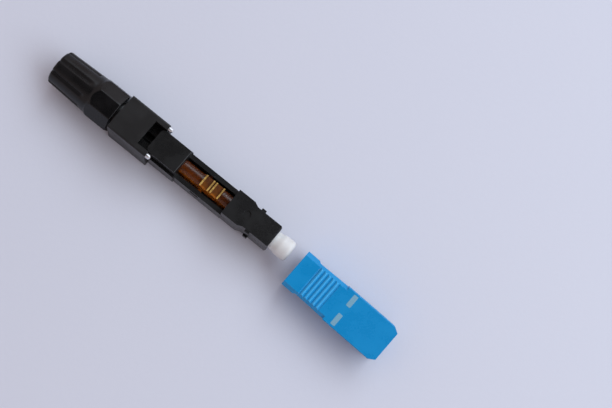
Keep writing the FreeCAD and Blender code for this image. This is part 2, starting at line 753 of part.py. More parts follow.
# ---------------------------------------------------------------- outer housing
def build_outer_housing():
    """SC housing, drawn about its own centre line and then laid on the table."""
    body = new_body("outer_housing")
    edge_side = [("0", "half_width"), ("collar_length - collar_slope", "half_width"),
                 ("collar_length", "waist_width / 2"), ("grip_length", "grip_width / 2"),
                 ("grip_length", "half_width"), ("housing_length - nose_run", "half_width"),
                 ("housing_length", "half_width - nose_cut")]
    plan = [(x, f"-({y})") for x, y in edge_side] + list(reversed(edge_side))
    grow(body, outline(body, "XY_Plane", plan), "housing_height", middle=True)
    dressed(body, "Fillet", "housing_edge",
            lambda edge, box: runs_along(edge, 0) and outermost(edge, box, 2)
            and outermost(edge, box, 1) and edge.CenterOfMass.x > (box.XMin + box.XMax) / 2)
    sink = "half_height - rib_sink"
    for sign in ("", "-"):
        bed = [("rib_place - rib_half", f"{sign}({sink})"), ("rib_last + rib_half", f"{sign}({sink})"),
               ("rib_last + rib_half + rib_run", f"{sign}half_height"),
               ("rib_last + rib_half + rib_run", f"{sign}housing_roof"),
               ("rib_place - rib_half - rib_run", f"{sign}housing_roof"),
               ("rib_place - rib_half - rib_run", f"{sign}half_height")]
        cut(body, outline(body, "XZ_Plane", bed), "2 * housing_width", middle=True)
        top = f"{sign}(half_height + rib_rise)"
        rib = [("rib_place - rib_half", f"{sign}({sink})"),
               ("rib_place - rib_half", f"{sign}(half_height - 2 * rib_sink)"),
               ("rib_place + rib_half", f"{sign}(half_height - 2 * rib_sink)"),
               ("rib_place + rib_half", f"{sign}({sink})"),
               ("rib_place + rib_crest / 2", top), ("rib_place - rib_crest / 2", top)]
        first = grow(body, outline(body, "XZ_Plane", rib), "waist_width", middle=True)
        repeated(body, first, "X_Axis", "rib_pitch", "rib_count")
    drop, bevel = "half_height - bevel_drop", "half_width - bevel_width"
    for flip, sign in (("", ""), ("-", ""), ("", "-"), ("-", "-")):
        corner = [(f"{flip}({bevel} - rib_rise)", f"{sign}(half_height + rib_rise)"),
                  (f"{flip}2 * half_width", f"{sign}(half_height + rib_rise)"),
                  (f"{flip}2 * half_width", f"{sign}({drop} - half_width)"),
                  (f"{flip}half_width", f"{sign}({drop})")]
        cut(body, outline(body, "YZ_Plane", corner), "grip_length")
    bay = rectangle(body, "YZ_Plane", ("-bay_half_width", "-bay_half_height"),
                    ("bay_half_width", "bay_half_height"))
    cut(body, bay, "housing_length - throat_length")
    throat = rectangle(body, "YZ_Plane", ("-bay_half_width", "-throat_half_height"),
                       ("bay_half_width", "throat_half_height"))
    cut(body, throat, "housing_length")
    windows = rectangle(body, "XZ_Plane", ("latch_place", "-latch_height / 2"),
                        ("latch_place + latch_length", "latch_height / 2"))
    cut(body, windows, "2 * housing_width", middle=True)
    key = rectangle(body, "YZ_Plane", ("-key_rib_width / 2", "-half_height - key_rib_height"),
                    ("key_rib_width / 2", "-throat_half_height - throat_play"),
                    "housing_length - key_rib_setback - key_rib_length")
    grow(body, key, "key_rib_length")
    body.setExpression("Placement", bound(
        "placement(vector(housing_rear; -housing_offset; housing_rise);"
        " rotationz(-housing_yaw) * rotationx(rest_roll))"))
    return body


PIECES = [
    build_tail_nut(),
    build_pressure_ring(),
    build_jaw("cable_jaw_upper", True),
    build_jaw("cable_jaw_lower", False),
    build_main_body(),
    build_clamp_block(),
    build_sliding_sleeve(),
    build_press_pin("press_pin_left", ""),
    build_press_pin("press_pin_right", "-"),
    build_v_groove_base(),
    build_v_groove_lid(),
    build_ferrule_holder(),
    build_ferrule(),
    build_fibre_stub(),
    build_ferrule_spring(),
    build_plug_frame(),
    build_dust_cap(),
    build_outer_housing(),
]

doc.recompute()
for item in doc.Objects:
    if "Invalid" in item.State or "Error" in item.State:
        raise RuntimeError(f"{item.Name} is in state {item.State}")

os.makedirs("parts", exist_ok=True)
for piece in PIECES:
    shape = piece.Shape
    if shape.isNull() or not shape.isValid() or len(shape.Solids) != 1:
        raise RuntimeError(f"{piece.Label} is not one valid solid")
    shape.exportStep(f"parts/{piece.Label}.step")
    print(f"{piece.Label}: {shape.Volume:.3f} mm3, x {shape.BoundBox.XMin:.2f} to "
          f"{shape.BoundBox.XMax:.2f}, z {shape.BoundBox.ZMin:.3f} to {shape.BoundBox.ZMax:.3f}")
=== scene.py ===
"""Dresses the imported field-assembly fibre connector: finishes, fine pieces, table, light, camera.

Lengths are in millimetres where no other unit is named, and they are turned into metres where
a mesh or a node needs them.
"""

import json
import logging
from dataclasses import dataclass, field, replace
from enum import Enum
from math import cos, radians, sin

import bmesh
import bpy
import numpy as np
from mathutils import Matrix, Vector

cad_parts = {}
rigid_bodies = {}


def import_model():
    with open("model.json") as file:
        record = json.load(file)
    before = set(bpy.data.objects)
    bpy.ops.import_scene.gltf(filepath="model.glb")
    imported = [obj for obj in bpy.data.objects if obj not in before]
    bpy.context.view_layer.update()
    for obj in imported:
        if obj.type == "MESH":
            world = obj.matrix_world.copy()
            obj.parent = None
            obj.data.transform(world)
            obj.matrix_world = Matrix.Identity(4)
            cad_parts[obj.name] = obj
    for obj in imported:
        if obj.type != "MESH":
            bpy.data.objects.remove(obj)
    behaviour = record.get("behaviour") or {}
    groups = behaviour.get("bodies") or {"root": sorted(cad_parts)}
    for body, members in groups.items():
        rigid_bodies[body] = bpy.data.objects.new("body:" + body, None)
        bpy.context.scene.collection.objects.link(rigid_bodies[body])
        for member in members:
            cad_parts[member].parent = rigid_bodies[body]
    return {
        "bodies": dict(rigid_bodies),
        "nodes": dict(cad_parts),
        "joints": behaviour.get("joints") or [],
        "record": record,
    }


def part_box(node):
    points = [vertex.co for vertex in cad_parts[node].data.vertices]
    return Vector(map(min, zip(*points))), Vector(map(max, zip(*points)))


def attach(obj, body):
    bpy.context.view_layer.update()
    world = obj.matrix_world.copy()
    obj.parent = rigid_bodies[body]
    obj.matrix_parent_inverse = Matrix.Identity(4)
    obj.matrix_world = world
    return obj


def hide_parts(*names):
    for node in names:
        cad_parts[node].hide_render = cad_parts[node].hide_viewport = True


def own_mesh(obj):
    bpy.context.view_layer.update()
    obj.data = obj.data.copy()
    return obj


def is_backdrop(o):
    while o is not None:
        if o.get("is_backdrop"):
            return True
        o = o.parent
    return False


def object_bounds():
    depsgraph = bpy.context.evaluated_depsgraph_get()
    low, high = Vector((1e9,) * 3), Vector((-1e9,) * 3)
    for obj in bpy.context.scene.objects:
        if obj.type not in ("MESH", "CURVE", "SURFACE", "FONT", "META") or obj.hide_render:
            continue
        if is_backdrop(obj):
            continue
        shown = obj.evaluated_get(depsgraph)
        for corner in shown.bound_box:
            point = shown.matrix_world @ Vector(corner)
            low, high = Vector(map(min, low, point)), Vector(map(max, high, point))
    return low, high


MM = 0.001
BEVEL_SAMPLES = 6
# Vertices nearer than this are one, in millimetres; faces that turn less are one, in degrees.
WELD = 0.0005
FLAT_TURN = 0.5
# The share of a face's breadth that a rounding beside it may take, and the most that a
# narrow chamfer turns, in degrees, to be shaded as a round.
FACE_SHARE = 0.42
SOFT_TURN = 50.0
# A face is crossed where its triangles have more than this share of its own area and this area
# on top. Two faces are folded where the cosine between their normals is lower than this and
# both are larger than this. Areas are in square metres.
CROSSED_SHARE = 1.001
CROSSED_AREA = 1e-11
FOLDED_COSINE = -0.97
FOLDED_AREA = 1e-10
LOG = logging.getLogger("connector")

Triple = tuple[float, float, float]
Colour = Triple
Pair = tuple[float, float]
Run = tuple[float, float, int]
Array = np.ndarray


class Body(Enum):
    """The moving bodies of the connector."""

    CONNECTOR = "connector_body"
    SLEEVE = "locking_sleeve"
    FERRULE = "ferrule_unit"
    CAP = "dust_cap"
    RING = "nut_ring"
    NUT = "tail_nut"


class Sheen(Enum):
    """How a moulding leaves its tool: the roughness of the surface."""

    GLOSSY = 0.26
    SATIN = 0.38


# ------------------------------------------------------------------ shader maths


class Value:
    """A number that varies over a surface, with the usual arithmetic."""

    def __init__(self, board: "Board", socket: bpy.types.NodeSocket) -> None:
        """Hold one output socket of a board's tree."""
        self.board = board
        self.socket = socket

    def _math(self, operation: str, *values: "Value | float") -> "Value":
        """Join this value and the others with one Math node."""
        inputs = dict(enumerate((self, *values)))
        return self.board.node("ShaderNodeMath", {"operation": operation}, inputs).out()

    def __add__(self, other: "Value | float") -> "Value":
        """Sum."""
        return self._math("ADD", other)

    def __mul__(self, other: "Value | float") -> "Value":
        """Product."""
        return self._math("MULTIPLY", other)

    def __sub__(self, other: "Value | float") -> "Value":
        """Difference."""
        return self._math("SUBTRACT", other)

    def __rsub__(self, other: float) -> "Value":
        """Number less this value."""
        return self * -1.0 + other

    def __truediv__(self, other: "Value | float") -> "Value":
        """Quotient."""
        return self._math("DIVIDE", other)

    def __pow__(self, power: float) -> "Value":
        """Power."""
        return self._math("POWER", power)

    def size(self) -> "Value":
        """Absolute value."""
        return self._math("ABSOLUTE")

    def rise(self, low: float, high: float) -> "Value":
        """Smooth step from 0 at low to 1 at high."""
        inputs = {"Value": self, "From Min": low, "From Max": high}
        return self.board.node("ShaderNodeMapRange", {"interpolation_type": "SMOOTHSTEP"},
                               inputs).out()

    def within(self, reach: float, soft: float) -> "Value":
        """One where the value lies within reach of zero, falling to nothing over soft."""
        return 1.0 - self.size().rise(reach - soft / 2, reach + soft / 2)


class Joined:
    """A node placed on a board, whose outputs can be read."""

    def __init__(self, board: "Board", node: bpy.types.Node) -> None:
        """Hold the node and its board."""
        self.board = board
        self.node = node

    def out(self, name: str | int = 0) -> Value:
        """One output of the node."""
        return Value(self.board, self.node.outputs[name])


class Board:
    """The empty node tree of a material or a world, with lengths in millimetres."""

    def __init__(self, owner: bpy.types.ID) -> None:
        """Clear the tree.

        Args:
            owner: the material or world.
        """
        owner.use_nodes = True
        self.tree = owner.node_tree
        self.tree.nodes.clear()

    def node(self, kind: str, settings: dict | None = None,
             inputs: dict | None = None) -> Joined:
        """Place one node.

        Args:
            kind: the node's type name.
            settings: its own properties, set first.
            inputs: numbers, colours or values for its sockets, by name or number.

        Returns:
            The placed node.
        """
        node = self.tree.nodes.new(kind)
        for key, value in (settings or {}).items():
            setattr(node, key, value)
        for key, value in (inputs or {}).items():
            if isinstance(value, Value):
                self.tree.links.new(value.socket, node.inputs[key])
            else:
                node.inputs[key].default_value = value
        return Joined(self, node)

    def place(self) -> Value:
        """The point on the object, in millimetres."""
        raw = self.node("ShaderNodeTexCoord").out("Object")
        return self.node("ShaderNodeVectorMath", {"operation": "SCALE"},
                         {"Vector": raw, "Scale": 1.0 / MM}).out()

    def turned(self, where: Value, origin: Vector, angles: Triple) -> Value:
        """The same point seen from a frame with that origin, turned about X, Y and Z."""
        inputs = {"Vector": where, "Location": origin, "Rotation": angles}
        return self.node("ShaderNodeMapping", {"vector_type": "TEXTURE"}, inputs).out()

    def parts(self, vector: Value) -> tuple[Value, Value, Value]:
        """The three numbers of a vector."""
        split = self.node("ShaderNodeSeparateXYZ", None, {"Vector": vector})
        return split.out("X"), split.out("Y"), split.out("Z")

    def noise(self, where: Value, grain: float, detail: float = 3.0, rough: float = 0.5) -> Value:
        """Cloudy noise about one half, with grains of the given size in millimetres."""
        inputs = {"Vector": where, "Scale": 1.0 / grain, "Detail": detail, "Roughness": rough}
        return self.node("ShaderNodeTexNoise", None, inputs).out("Fac")

    def specks(self, where: Value, spacing: float, reach: float) -> Value:
        """Round specks: one at a speck's middle, nothing beyond its reach times the spacing."""
        inputs = {"Vector": where, "Scale": 1.0 / spacing, "Randomness": 1.0}
        return 1.0 - self.node("ShaderNodeTexVoronoi", None, inputs).out("Distance").rise(
            0.0, reach)

    def blend(self, share: "Value | float", first: "Value | Colour",
              second: "Value | Colour") -> Value:
        """Mix two colours: the first at share 0, the second at share 1."""
        colours = [c if isinstance(c, Value) else (*c, 1.0) for c in (first, second)]
        return self.node("ShaderNodeMix", {"data_type": "RGBA"},
                         {0: share, 6: colours[0], 7: colours[1]}).out(2)

    def relief(self, height: Value, rounding: float = 0.0) -> Value:
        """A normal from a height.

        Args:
            height: the height.
            rounding: radius by which corners are shaded round.

        Returns:
            The normal.
        """
        inputs = {"Height": height, "Distance": MM, "Strength": 1.0}
        if rounding:
            inputs["Normal"] = self.rounded(rounding)
        return self.node("ShaderNodeBump", None, inputs).out()

    def rounded(self, radius: float) -> Value:
        """The surface's normal, rounded near edges by a radius in millimetres."""
        return self.node("ShaderNodeBevel", {"samples": BEVEL_SAMPLES},
                         {"Radius": radius * MM}).out()

    def edges(self, radius: float) -> Value:
        """How far the rounded normal leaves the true one: near 0 on flats, more at edges."""
        true = self.node("ShaderNodeNewGeometry").out("Normal")
        return 1.0 - self.node("ShaderNodeVectorMath", {"operation": "DOT_PRODUCT"},
                               {0: self.rounded(radius), 1: true}).out("Value")

    def surface(self, inputs: dict) -> None:
        """Finish a material with a Principled shader whose sockets get the inputs."""
        shader = self.node("ShaderNodeBsdfPrincipled", None, inputs)
        self.node("ShaderNodeOutputMaterial", None, {"Surface": shader.out("BSDF")})


# ------------------------------------------------------------------ finishes


@dataclass(frozen=True)
class Finish:
    """A named surface finish and its main colour."""

    name: str
    colour: Colour

    def draw(self, board: Board) -> None:
        """Draw the finish on a material's empty board."""
        raise NotImplementedError


@dataclass(frozen=True)
class Moulding(Finish):
    """Opaque moulding: tool texture, flow and sink marks, dust, rubbing and painted edge highlights.

    Attributes:
        rounding: how near an edge the rubbing and the painted edge highlight reach.
        grain: width of the tool texture.
        flow: width of the flow marks.
        edge_rub_and_highlight: the most that an edge is lightened, by rubbing and by painted
            highlight, from 0 to 1, in patches of rub_and_highlight_patch.
        dust: the most that a speck of dust hides, from 0 to 1.
        dust_reach: a speck's radius as a share of the spacing.
        gloss: the specular level.
    """

    flow_colour: Colour
    edge_colour: Colour
    sheen: Sheen = Sheen.GLOSSY
    rounding: float = 0.1
    grain: float = 0.09
    grain_height: float = 0.0012
    flow: float = 4.0
    edge_rub_and_highlight: float = 0.5
    rub_and_highlight_patch: float = 0.7
    scuff: float = 0.35
    sink: float = 3.0
    sink_depth: float = 0.012
    dust: float = 0.25
    dust_spacing: float = 1.9
    dust_reach: float = 0.045
    dust_colour: Colour = (0.55, 0.56, 0.6)
    gloss: float = 0.4

    def draw(self, board: Board) -> None:
        """Draw the finish.

        Args:
            board: the material's empty board.
        """
        where = board.place()
        flow = board.noise(where, self.flow, 2.0).rise(0.35, 0.65)
        # Edges lightened in patches: rubbing, and a painted edge highlight where the edge colour is
        # bright.
        rub_and_highlight_patches = board.noise(where, self.rub_and_highlight_patch, 4.0).rise(0.4, 0.7)
        edge = board.edges(self.rounding).rise(0.01, 0.12) * rub_and_highlight_patches * self.edge_rub_and_highlight
        dusty = board.noise(where, 5.0).rise(0.45, 0.6) * self.dust
        dust = board.specks(where, self.dust_spacing, self.dust_reach) * dusty
        colour = board.blend(flow, self.colour, self.flow_colour)
        colour = board.blend(edge, colour, self.edge_colour)
        # Grip mouldings lay a painted highlight on their rib crests here.
        colour = self.paint_crest_highlight(board, where, colour)
        colour = board.blend(dust, colour, self.dust_colour)
        scuff = board.noise(where, self.scuff, 5.0, 0.65) - 0.5
        rough = scuff * 0.12 + flow * 0.05 + edge * 0.2 + self.sheen.value
        grain = board.noise(where, self.grain, 2.0) * self.grain_height
        sink = board.noise(where, self.sink, 1.0) * self.sink_depth
        board.surface({
            "Base Color": colour, "Roughness": rough, "IOR": 1.5,
            "Specular IOR Level": self.gloss, "Normal": board.relief(grain + sink)})

    def paint_crest_highlight(self, board: Board, where: Value, colour: Value) -> Value:
        """The colour with a painted highlight on grip crests: here, unchanged."""
        return colour


@dataclass(frozen=True)
class GripMoulding(Moulding):
    """Moulded plastic whose grip ribs stand above its flats, with a painted highlight on their
    crests.

    Attributes:
        crest_highlight_colour: the colour of a crest's painted highlight.
        middle: middle of the part's rear face.
        turn: roll about X and yaw about Z of the part, in radians.
        heights: heights from the part's axis between which the painted crest highlight sets in.
    """

    crest_highlight_colour: Colour = (0.04, 0.4, 0.78)
    middle: Triple = (0.0, 0.0, 0.0)
    turn: Pair = (0.0, 0.0)
    heights: Pair = (3.7, 3.82)

    def paint_crest_highlight(self, board: Board, where: Value, colour: Value) -> Value:
        """The colour with a painted highlight lightening the crests."""
        own = board.turned(where, Vector(self.middle), (self.turn[0], 0.0, self.turn[1]))
        return board.blend(board.parts(own)[2].size().rise(*self.heights), colour,
                           self.crest_highlight_colour)


@dataclass(frozen=True)
class ClearMoulding(Finish):
    """Tinted clear plastic, dark in its depth, with painted shade and painted light on its colour.

    Attributes:
        deep_and_painted_shade: the colour where it is thick, also the painted shade towards +Y.
        clearness: share of the light that passes.
        fins: heights between which the fin tops get a painted golden highlight.
        painted_glow_side: places across, towards -Y, between which the side gets painted glowing
            light.
        painted_shade_side: places across between which the plastic gets painted shade, most towards
            +Y.
        rounding: how near an edge the painted glowing light reaches.
    """

    deep_and_painted_shade: Colour
    painted_fin_highlight: Colour
    painted_glow: Colour
    clearness: float = 0.75
    fins: Pair = (2.1, 2.5)
    painted_glow_side: Pair = (0.8, 1.6)
    painted_shade_side: Pair = (-0.9, 0.9)
    cloud: float = 1.1
    glint: float = 0.6
    bubbles: float = 0.9
    rounding: float = 0.05

    def draw(self, board: Board) -> None:
        """Draw the finish.

        Args:
            board: the material's empty board.
        """
        where = board.place()
        _, across, up = board.parts(where)
        cloud = board.noise(where, self.cloud, 3.0).rise(0.35, 0.65)
        glint = board.noise(where, self.glint, 1.0).rise(0.3, 0.7)
        bubble = board.specks(where, self.bubbles, 0.08)
        edge = board.edges(self.rounding).rise(0.01, 0.15)
        # Painted glowing light along the -Y side, where light passing through would leave the
        # plastic.
        side = (across * -1.0).rise(*self.painted_glow_side) * (glint * 0.7 + 0.3)
        # Painted golden highlight on the fin tops.
        fin = up.rise(*self.fins) * (glint * 0.5 + 0.4)
        # Cloudy depth, mixed with painted shade towards +Y.
        depth = cloud * 0.5 + across.rise(*self.painted_shade_side) * 0.5
        colour = board.blend(depth, self.colour, self.deep_and_painted_shade)
        colour = board.blend(side, colour, self.painted_glow)
        # Painted glowing light at the edges; bubbles lighter in the same colour.
        colour = board.blend(edge * 0.35 + bubble * 0.2, colour, self.painted_glow)
        colour = board.blend(fin, colour, self.painted_fin_highlight)
        board.surface({
            "Base Color": colour, "Roughness": board.noise(where, 0.4, 4.0) * 0.16 + 0.16,
            "IOR": 1.48, "Specular IOR Level": 0.06, "Transmission Weight": self.clearness,
            "Normal": board.relief(board.noise(where, 0.5, 2.0) * 0.006)})


@dataclass(frozen=True)
class SoftMoulding(Finish):
    """Pale soft plastic, which light enters, with a faint cloud and a mould's parting line."""

    shade: Colour
    parting: float = 0.0
    depth: float = 0.9
    rounding: float = 0.06

    def draw(self, board: Board) -> None:
        """Draw the finish.

        Args:
            board: the material's empty board.
        """
        where = board.place()
        _, _, up = board.parts(where)
        seam = (up - self.parting).within(0.03, 0.05)
        cloud = board.noise(where, 2.2, 3.0).rise(0.35, 0.75)
        height = board.noise(where, 0.12, 2.0) * 0.002 + seam * 0.015
        board.surface({
            "Base Color": board.blend(cloud * 0.6 + seam * 0.3, self.colour, self.shade),
            "Roughness": board.noise(where, 0.5, 4.0) * 0.2 + 0.3, "IOR": 1.5,
            "Subsurface Weight": 0.5, "Subsurface Radius": (1.0, 0.9, 0.8),
            "Subsurface Scale": self.depth * MM,
            "Normal": board.relief(height, self.rounding)})


@dataclass(frozen=True)
class TurnedSteel(Finish):
    """Ground or drawn steel with fine rings about the X axis, hazy in places."""

    rough: float
    ring: float = 0.05
    haze_colour: Colour = (0.5, 0.52, 0.57)

    def draw(self, board: Board) -> None:
        """Draw the finish.

        Args:
            board: the material's empty board.
        """
        where = board.place()
        along, _, _ = board.parts(where)
        lines = board.node("ShaderNodeTexNoise", {"noise_dimensions": "1D"},
                           {"W": along / self.ring, "Detail": 3.0}).out("Fac")
        haze = board.noise(where, 0.8, 3.0)
        board.surface({
            "Base Color": board.blend(haze.rise(0.3, 0.8) * 0.35, self.colour,
                                      self.haze_colour),
            "Metallic": 1.0, "Roughness": lines * 0.12 + haze * 0.06 + self.rough,
            "Normal": board.relief(lines * 0.002, 0.05)})


@dataclass(frozen=True)
class Clouded(Finish):
    """An even stuff that clouds a little: ground ceramic, bare glass or a rubbed print.

    Attributes:
        cloud: the noise's grain, its detail and its roughness.
        rough: the surface's roughness where it is clear, and what a cloud adds.
        share: how much of the shade a full cloud has.
        patch: the noise's values between which it clouds.
        height: how high a cloud stands.
        sockets: what else the shader gets.
    """

    shade: Colour
    cloud: Triple
    rough: Pair
    share: float = 1.0
    patch: Pair | None = None
    height: float | None = None
    rounding: float = 0.0
    sockets: tuple[tuple[str, float], ...] = ()

    def draw(self, board: Board) -> None:
        """Draw the finish.

        Args:
            board: the material's empty board.
        """
        cloud = board.noise(board.place(), *self.cloud)
        if self.patch:
            cloud = cloud.rise(*self.patch)
        inputs = dict(self.sockets)
        inputs["Base Color"] = board.blend(cloud * self.share, self.colour, self.shade)
        inputs["Roughness"] = cloud * self.rough[1] + self.rough[0]
        if self.height:
            inputs["Normal"] = board.relief(cloud * self.height, self.rounding)
        board.surface(inputs)


@dataclass(frozen=True)
class Paper(Finish):
    """The table's cool pale paper, with a faint felt of fibres and wide clouds."""

    fleck: Colour
    felt: float = 0.9
    cloud: float = 60.0

    def draw(self, board: Board) -> None:
        """Draw the finish.

        Args:
            board: the material's empty board.
        """
        where = board.place()
        felt = board.noise(where, self.felt, 5.0, 0.6)
        cloud = board.noise(where, self.cloud, 2.0)
        board.surface({
            "Base Color": board.blend(felt * 0.5 + cloud * 0.5, self.colour, self.fleck),
            "Roughness": 0.85, "Specular IOR Level": 0.2,
            "Normal": board.relief(felt * 0.02)})


BLACK = Moulding("black_moulding", (0.006, 0.0062, 0.0064), (0.0076, 0.0078, 0.008),
                 (0.03, 0.032, 0.042), Sheen.GLOSSY)
BLACK_NUT = Moulding("black_nut_moulding", (0.003, 0.003, 0.0034), (0.0042, 0.0042, 0.0048),
                     (0.03, 0.032, 0.042), Sheen.GLOSSY, gloss=0.34)
BLACK_SLEEVE = Moulding("black_sleeve_moulding", (0.0068, 0.0068, 0.007),
                        (0.0085, 0.0085, 0.0088), (0.04, 0.042, 0.05), Sheen.SATIN)
BLACK_SATIN = Moulding("black_satin_moulding", (0.0048, 0.0048, 0.0058),
                       (0.0065, 0.0065, 0.0075), (0.03, 0.032, 0.04), Sheen.SATIN)
# The blue moulding's pale edge colour, laid on strongly, is rubbing and a painted edge highlight.
BLUE = GripMoulding("blue_moulding", (0.0035, 0.252, 0.57), (0.0045, 0.27, 0.6),
                    (0.06, 0.5, 0.86), Sheen.GLOSSY, edge_rub_and_highlight=0.9, dust=0.2)
AMBER = ClearMoulding("amber_moulding", (0.38, 0.085, 0.008), (0.13, 0.03, 0.006),
                      (1.0, 0.62, 0.18), (1.0, 0.3, 0.02))
AMBER_LID = ClearMoulding("amber_lid_moulding", (0.26, 0.085, 0.012), (0.14, 0.05, 0.02),
                          (1.0, 0.66, 0.18), (0.9, 0.28, 0.03), clearness=0.45)
WHITE = SoftMoulding("cap_moulding", (0.72, 0.72, 0.71), (0.66, 0.66, 0.65))
ZIRCONIA = Clouded("zirconia", (0.86, 0.85, 0.82), (0.78, 0.77, 0.73), (0.6, 3.0, 0.5),
                   (0.08, 0.08), height=0.0008, rounding=0.03,
                   sockets=(("IOR", 2.1), ("Coat Weight", 0.3)))
BARE_FIBRE = Clouded("bare_fibre", (0.9, 0.93, 0.95), (0.8, 0.85, 0.88), (0.3, 3.0, 0.5),
                     (0.02, 0.05), sockets=(("IOR", 1.46), ("Transmission Weight", 0.9)))
PIN_STEEL = TurnedSteel("pin_steel", (0.86, 0.88, 0.9), 0.26)
SPRING_STEEL = TurnedSteel("spring_steel", (0.62, 0.62, 0.64), 0.16)
MARK_INK = Clouded("mark_ink", (0.2, 0.41, 0.54), (0.09, 0.3, 0.5), (0.25, 4.0, 0.7),
                   (0.35, 0.15), share=0.5, patch=(0.5, 0.75), height=0.004)
TABLE_PAPER = Paper("table_paper", (0.65, 0.66, 0.735), (0.62, 0.635, 0.715))


def finish_of(finish: Finish) -> bpy.types.Material:
    """The material of a finish, made once.

    Args:
        finish: the finish.

    Returns:
        Its material.
    """
    material = bpy.data.materials.get(finish.name)
    if material is None:
        material = bpy.data.materials.new(finish.name)
        finish.draw(Board(material))
    return material


def placed(name: str, data: bpy.types.ID) -> bpy.types.Object:
    """Link a new object.

    Args:
        name: its name.
        data: the mesh, lamp or camera that it shows.

    Returns:
        The object.
    """
    made = bpy.data.objects.new(name, data)
    bpy.context.scene.collection.objects.link(made)
    return made


# ------------------------------------------------------------------ surfaces


def mesh_piece(name: str, points: Array, faces: list, body: Body, finish: Finish) -> bpy.types.Object:
    """Put a worked-out closed surface into the scene as a smooth piece, facing outwards.

    Args:
        name: the piece's name.
        points: an (n, 3) array.
        faces: rows of point numbers.
        body: the body it moves with.
        finish: the finish that makes its material.

    Returns:
        The new object.
    """
    mesh = bpy.data.meshes.new(name)
    mesh.from_pydata((points * MM).tolist(), [], faces)
    mesh.shade_smooth()
    mesh.validate()
    shape = bmesh.new()
    shape.from_mesh(mesh)
    bmesh.ops.recalc_face_normals(shape, faces=shape.faces)
    shape.to_mesh(mesh)
    shape.free()
    mesh.materials.append(finish_of(finish))
    piece = placed(name, mesh)
    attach(piece, body.value)
    LOG.info("%s: %d points", name, len(points))
    return piece


def lattice(rows: int, columns: int, wrap_rows: bool = False) -> Array:
    """Quads over a grid of points whose columns close on themselves.

    Args:
        rows: number of rows of points.
        columns: number of points in a row.
        wrap_rows: whether the last row joins the first.

    Returns:
        A row of four point numbers for each quad.
    """
    row = np.arange(rows if wrap_rows else rows - 1)[:, None]
    spot = np.arange(columns)[None, :]
    below = (row + 1) % rows
    beside = (spot + 1) % columns
    corners = [row * columns + spot, row * columns + beside, below * columns + beside,
               below * columns + spot]
    return np.stack(corners, axis=-1).reshape(-1, 4)


def closed_rings(rings: Array, poles: Array) -> tuple[Array, list]:
    """A closed surface over rings of points, with a fan of triangles at either end.

    Args:
        rings: the points, by ring and by place on the ring.
        poles: the point before the first ring and the point behind the last.

    Returns:
        Points and faces.
    """
    rows, columns = rings.shape[:2]
    spot = np.arange(columns)
    beside = (spot + 1) % columns
    rear, last = rows * columns, (rows - 1) * columns
    fans = [np.stack([beside, spot, np.full(columns, rear)], -1),
            np.stack([np.full(columns, rear + 1), last + spot, last + beside], -1)]
    faces = [*lattice(rows, columns)[:, ::-1].tolist(), *np.concatenate(fans).tolist()]
    return np.concatenate([rings.reshape(-1, 3), poles]), faces


def circle(count: int) -> Array:
    """Angles round a circle, in a row."""
    return np.linspace(0.0, 2 * np.pi, count, endpoint=False)[None, :]


def round_x(along: Array, radius: Array, turn: Array) -> Array:
    """Points (x, r cos t, r sin t): places x in a column, angles t in a row, radii over both."""
    across, up = radius * np.cos(turn), radius * np.sin(turn)
    return np.stack([np.broadcast_to(along, across.shape), across, up], -1)


def places(runs: tuple[Run, ...]) -> Array:
    """Places along a line, evenly spaced over each run of a first, a last and a count."""
    return np.concatenate([np.linspace(*run) for run in runs])


def arc(centre: Pair, radius: float, start: float, end: float, count: int) -> Array:
    """Points (x, r) on a round corner of a profile, its angles in degrees."""
    angle = np.radians(np.linspace(start, end, count))
    return np.stack([centre[0] + radius * np.cos(angle), centre[1] + radius * np.sin(angle)], -1)


def eased(share: Array) -> Array:
    """Smooth step of a share: 3 s^2 - 2 s^3, held at 0 and 1 outside."""
    held = np.clip(share, 0.0, 1.0)
    return held ** 2 * (3.0 - 2.0 * held)


def rounded_path(corners: list[Pair], radius: float, steps: int) -> Array:
    """An open path whose inner corners are parabolas between points a radius off the corner.

    Args:
        corners: the path's corners.
        radius: how far from a corner its curve starts.
        steps: points on each curve, less one.

    Returns:
        An (n, 2) array of points.
    """
    path = np.array(corners)
    before = path[:-2] - path[1:-1]
    after = path[2:] - path[1:-1]
    start = path[1:-1] + before * radius / np.linalg.norm(before, axis=1, keepdims=True)
    end = path[1:-1] + after * radius / np.linalg.norm(after, axis=1, keepdims=True)
    share = np.linspace(0.0, 1.0, steps + 1)[None, :, None]
    curve = ((1 - share) ** 2 * start[:, None] + 2 * share * (1 - share) * path[1:-1, None]
             + share ** 2 * end[:, None])
    return np.concatenate([path[:1], curve.reshape(-1, 2), path[-1:]])


@dataclass(frozen=True)
class Edges:
    """How a moulded or turned piece's corners are rounded.

    Attributes:
        radius: the rounding.
        steps: faces over a rounded corner.
        from_angle: the least turn, in degrees, that counts as a corner.
        fine_zones: runs along X in which corners are only rounded by fine_radius.
        soft_chamfer: a strip narrower than this stays as it is and is shaded as a round.
    """

    radius: float = 0.07
    steps: int = 2
    from_angle: float = 24.0
    fine_zones: tuple[Pair, ...] = ()
    fine_radius: float = 0.03
    soft_chamfer: float = 0.0


Row = tuple[str, Body, Finish, Edges]


def column(items: bpy.types.bpy_prop_collection, name: str, width: int = 1) -> Array:
    """One property of every item of a collection.

    Args:
        items: the vertices, edges, loops or faces of a mesh, or an attribute's data.
        name: the property.
        width: how many numbers each item has.

    Returns:
        One number or one row per item.
    """
    values = np.empty(len(items) * width, dtype=float)
    items.foreach_get(name, values)
    return values.reshape(-1, width) if width > 1 else values


def face_corners(mesh: bpy.types.Mesh) -> tuple[Array, Array]:
    """The number of each corner's face and of the edge that starts at the corner."""
    sizes = column(mesh.polygons, "loop_total").astype(int)
    return (np.repeat(np.arange(len(sizes)), sizes),
            column(mesh.loops, "edge_index").astype(int))


